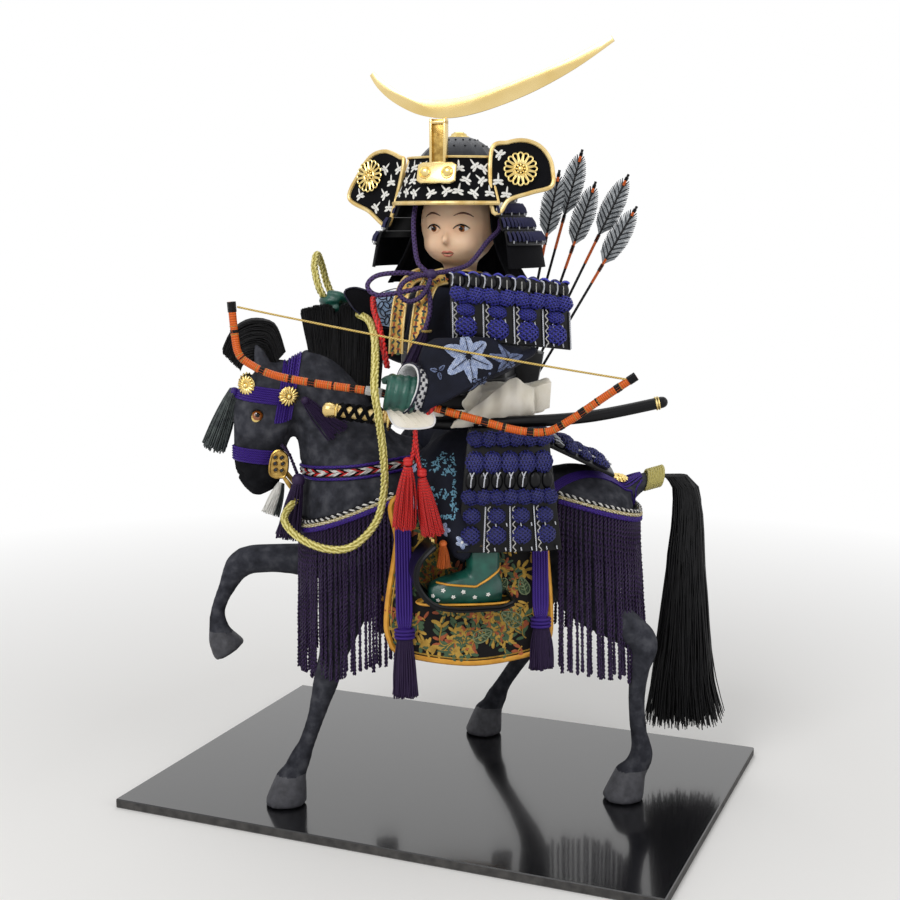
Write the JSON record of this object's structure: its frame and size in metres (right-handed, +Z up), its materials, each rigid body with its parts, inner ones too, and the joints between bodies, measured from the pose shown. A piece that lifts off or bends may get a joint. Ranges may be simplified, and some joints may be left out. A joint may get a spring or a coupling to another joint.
{
  "type": "samurai doll",
  "caption": "Armoured rider with a crescent helmet crest, bow, sword and arrows, seated on a tacked dark horse that stands on a thin black lacquered board.",
  "frame": {"origin": "centre of the board's flat underside", "axes": "+Z up, the horse faces -X, the rider's left side is towards -Y"},
  "size_m": [0.4362, 0.396, 0.4765],
  "materials": {
    "lacquer": "black lacquer, smooth and glossy",
    "horse_flock": "charcoal flocked composite",
    "black_hair": "black hair and bristle",
    "purple_cord": "purple braided cord",
    "dark_fringe": "dark purple twisted cord",
    "navy_lacing": "black lamellae laced with blue braid",
    "gold_metal": "satin gilt metal",
    "gold_rope": "twisted gold cord",
    "brocade": "black brocade with gold pattern",
    "robe_cloth": "navy black patterned cloth",
    "white_cloth": "ivory cloth",
    "green_leather": "dark green leather",
    "red_silk": "red silk",
    "doll_skin": "painted skin, satin",
    "orange_lacquer": "orange lacquer over rattan and wood",
    "grey_feather": "barred grey feather",
    "amber_glass": "brown glass bead, opaque"
  },
  "bodies": {
    "root": {"ground_board": "lacquer", "horse_body": "horse_flock", "lead_rope": "gold_rope", "chin_cord": "dark_fringe", "scabbard": "lacquer", "sword_hilt": "gold_metal", "bow": "orange_lacquer", "bow_string": "gold_rope", "headstall": "purple_cord", "horse_eye_left": "amber_glass", "horse_eye_right": "amber_glass", "bit": "gold_metal", "mane": "black_hair", "forelock": "black_hair", "brow_tassel": "black_hair", "tail_band": "gold_rope", "tail_hair": "black_hair", "neck_strap": "purple_cord", "crupper": "purple_cord", "chest_fringe": "dark_fringe", "rump_fringe": "dark_fringe", "saddle": "lacquer", "saddle_flap_left": "brocade", "saddle_flap_right": "brocade", "front_tie_left": "purple_cord", "rear_tie_left": "purple_cord", "front_tie_right": "purple_cord", "rear_tie_right": "purple_cord", "trousers": "robe_cloth", "boot_left": "green_leather", "boot_right": "green_leather", "stirrup_left": "lacquer", "stirrup_right": "lacquer", "torso": "robe_cloth", "cuirass": "lacquer", "sash": "white_cloth", "quiver": "lacquer", "sleeve_left": "robe_cloth", "sleeve_right": "robe_cloth", "hand_left": "green_leather", "hand_right": "green_leather", "wrist_tassel": "red_silk", "head": "doll_skin", "helmet_bowl": "lacquer", "visor": "brocade", "neck_guard": "navy_lacing", "helmet_wing_left": "brocade", "helmet_wing_right": "brocade", "crest_bracket": "gold_metal", "crest": "gold_metal", "shoulder_guard_left": "navy_lacing", "shoulder_guard_right": "navy_lacing", "tasset_left": "navy_lacing", "tasset_right": "navy_lacing", "tasset_rear": "navy_lacing", "arrow_1": "grey_feather", "arrow_2": "grey_feather", "arrow_3": "grey_feather", "arrow_4": "grey_feather", "arrow_5": "grey_feather"}
  },
  "joints": []
}
